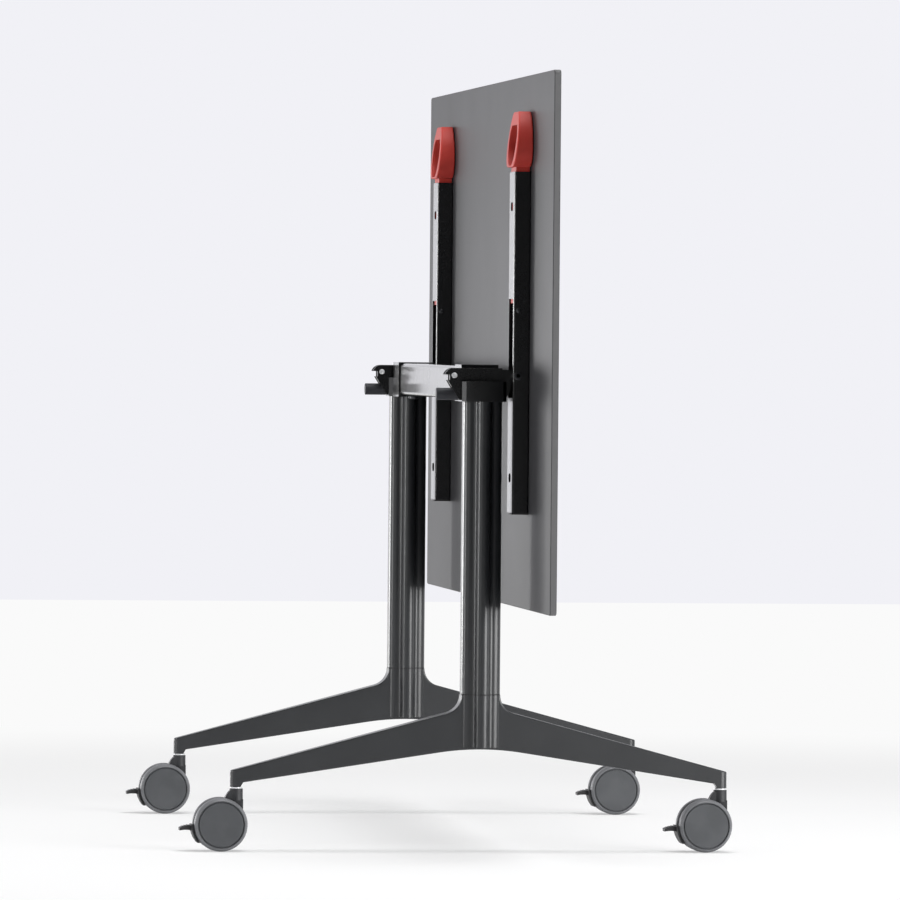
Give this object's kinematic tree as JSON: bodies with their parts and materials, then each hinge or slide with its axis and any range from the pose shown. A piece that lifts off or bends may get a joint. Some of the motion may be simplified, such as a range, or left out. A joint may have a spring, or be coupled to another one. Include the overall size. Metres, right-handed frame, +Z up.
{
  "type": "tilting table",
  "caption": "Flip-top table on castors: a thin rectangular top that tilts upright on two T-legs, with pull handles that draw sprung latches, for nesting and storage.",
  "frame": {"origin": "on the floor, under the middle of the table's box with its top upright", "axes": "+X along the feet from the handle side to the worktop's side, +Y along the table's length from the right leg to the left, +Z up"},
  "size_m": [0.831, 1.6, 1.163],
  "materials": {
    "laminate": "matt compact laminate with a dark core",
    "powder_black": "fine black powder coat",
    "powder_anthracite": "satin anthracite powder coat",
    "coral_plastic": "fine-grained coral red",
    "castor_plastic": "satin dark grey nylon",
    "tread_rubber": "soft dark tread",
    "zinc": "bright zinc plated",
    "black_zinc": "black zinc plated",
    "spring_steel": "oiled spring wire",
    "black_plastic": "moulded black",
    "bumper_rubber": "matt black rubber"
  },
  "bodies": {
    "frame": {"crossbeam": "powder_black", "right_column": "powder_anthracite", "right_base": "powder_anthracite", "right_head": "powder_black", "right_hook_plates": "powder_black", "left_column": "powder_anthracite", "left_base": "powder_anthracite", "left_head": "powder_black", "left_hook_plates": "powder_black", "hook_pins": "zinc", "nesting_bumpers": "bumper_rubber", "beam_bolts": "black_zinc", "tie_rods": "zinc", "tie_rod_nuts": "zinc", "pivot_pins": "black_zinc", "pivot_bushes": "black_plastic", "caster_stems": "zinc"},
    "top": {"tabletop": "laminate", "right_rail": "powder_black", "right_latch_spring": "spring_steel", "left_rail": "powder_black", "left_latch_spring": "spring_steel", "rail_end_caps": "black_plastic", "rail_screws": "black_zinc", "screw_inserts": "zinc", "guide_rivets": "black_zinc"},
    "right_pull": {"right_handle": "coral_plastic", "right_latch_bar": "coral_plastic"},
    "front_right_fork": {"front_right_caster_body": "castor_plastic", "front_right_axle": "zinc"},
    "front_right_lever": {"front_right_brake_lever": "black_plastic"},
    "front_right_outer": {"front_right_outer_wheel": "castor_plastic", "front_right_outer_tread": "tread_rubber"},
    "front_right_inner": {"front_right_inner_wheel": "castor_plastic", "front_right_inner_tread": "tread_rubber"},
    "rear_right_fork": {"rear_right_caster_body": "castor_plastic", "rear_right_axle": "zinc"},
    "rear_right_lever": {"rear_right_brake_lever": "black_plastic"},
    "rear_right_outer": {"rear_right_outer_wheel": "castor_plastic", "rear_right_outer_tread": "tread_rubber"},
    "rear_right_inner": {"rear_right_inner_wheel": "castor_plastic", "rear_right_inner_tread": "tread_rubber"},
    "left_pull": {"left_handle": "coral_plastic", "left_latch_bar": "coral_plastic"},
    "front_left_fork": {"front_left_caster_body": "castor_plastic", "front_left_axle": "zinc"},
    "front_left_lever": {"front_left_brake_lever": "black_plastic"},
    "front_left_outer": {"front_left_outer_wheel": "castor_plastic", "front_left_outer_tread": "tread_rubber"},
    "front_left_inner": {"front_left_inner_wheel": "castor_plastic", "front_left_inner_tread": "tread_rubber"},
    "rear_left_fork": {"rear_left_caster_body": "castor_plastic", "rear_left_axle": "zinc"},
    "rear_left_lever": {"rear_left_brake_lever": "black_plastic"},
    "rear_left_outer": {"rear_left_outer_wheel": "castor_plastic", "rear_left_outer_tread": "tread_rubber"},
    "rear_left_inner": {"rear_left_inner_wheel": "castor_plastic", "rear_left_inner_tread": "tread_rubber"}
  },
  "joints": [
    {"name": "top_tilt", "type": "hinge", "parent": "frame", "child": "top", "pos_m": [0.0845, 0, 0.713], "axis": [0, -1, 0], "range_deg": [0, 90]},
    {"name": "right_latch_pull", "type": "slide", "parent": "top", "child": "right_pull", "axis": [0, 0, 1], "range_m": [-0.006, 0.01], "stiffness_N_per_m": 400, "springref_m": -0.02, "deforming": ["right_latch_spring"]},
    {"name": "front_right_swivel", "type": "hinge", "parent": "frame", "child": "front_right_fork", "pos_m": [-0.3305, -0.505, 0.087], "axis": [0, 0, 1], "continuous": true},
    {"name": "front_right_brake", "type": "hinge", "parent": "front_right_fork", "child": "front_right_lever", "pos_m": [-0.3545, -0.505, 0.04], "axis": [0, -1, 0], "range_deg": [0, 14]},
    {"name": "front_right_outer_spin", "type": "hinge", "parent": "front_right_fork", "child": "front_right_outer", "pos_m": [-0.3545, -0.505, 0.04], "axis": [0, 1, 0], "continuous": true},
    {"name": "front_right_inner_spin", "type": "hinge", "parent": "front_right_fork", "child": "front_right_inner", "pos_m": [-0.3545, -0.505, 0.04], "axis": [0, 1, 0], "continuous": true},
    {"name": "rear_right_swivel", "type": "hinge", "parent": "frame", "child": "rear_right_fork", "pos_m": [0.3995, -0.505, 0.087], "axis": [0, 0, 1], "continuous": true},
    {"name": "rear_right_brake", "type": "hinge", "parent": "rear_right_fork", "child": "rear_right_lever", "pos_m": [0.3755, -0.505, 0.04], "axis": [0, -1, 0], "range_deg": [0, 14]},
    {"name": "rear_right_outer_spin", "type": "hinge", "parent": "rear_right_fork", "child": "rear_right_outer", "pos_m": [0.3755, -0.505, 0.04], "axis": [0, 1, 0], "continuous": true},
    {"name": "rear_right_inner_spin", "type": "hinge", "parent": "rear_right_fork", "child": "rear_right_inner", "pos_m": [0.3755, -0.505, 0.04], "axis": [0, 1, 0], "continuous": true},
    {"name": "left_latch_pull", "type": "slide", "parent": "top", "child": "left_pull", "axis": [0, 0, 1], "range_m": [-0.006, 0.01], "stiffness_N_per_m": 400, "springref_m": -0.02, "deforming": ["left_latch_spring"]},
    {"name": "front_left_swivel", "type": "hinge", "parent": "frame", "child": "front_left_fork", "pos_m": [-0.3305, 0.505, 0.087], "axis": [0, 0, 1], "continuous": true},
    {"name": "front_left_brake", "type": "hinge", "parent": "front_left_fork", "child": "front_left_lever", "pos_m": [-0.3545, 0.505, 0.04], "axis": [0, -1, 0], "range_deg": [0, 14]},
    {"name": "front_left_outer_spin", "type": "hinge", "parent": "front_left_fork", "child": "front_left_outer", "pos_m": [-0.3545, 0.505, 0.04], "axis": [0, 1, 0], "continuous": true},
    {"name": "front_left_inner_spin", "type": "hinge", "parent": "front_left_fork", "child": "front_left_inner", "pos_m": [-0.3545, 0.505, 0.04], "axis": [0, 1, 0], "continuous": true},
    {"name": "rear_left_swivel", "type": "hinge", "parent": "frame", "child": "rear_left_fork", "pos_m": [0.3995, 0.505, 0.087], "axis": [0, 0, 1], "continuous": true},
    {"name": "rear_left_brake", "type": "hinge", "parent": "rear_left_fork", "child": "rear_left_lever", "pos_m": [0.3755, 0.505, 0.04], "axis": [0, -1, 0], "range_deg": [0, 14]},
    {"name": "rear_left_outer_spin", "type": "hinge", "parent": "rear_left_fork", "child": "rear_left_outer", "pos_m": [0.3755, 0.505, 0.04], "axis": [0, 1, 0], "continuous": true},
    {"name": "rear_left_inner_spin", "type": "hinge", "parent": "rear_left_fork", "child": "rear_left_inner", "pos_m": [0.3755, 0.505, 0.04], "axis": [0, 1, 0], "continuous": true}
  ]
}
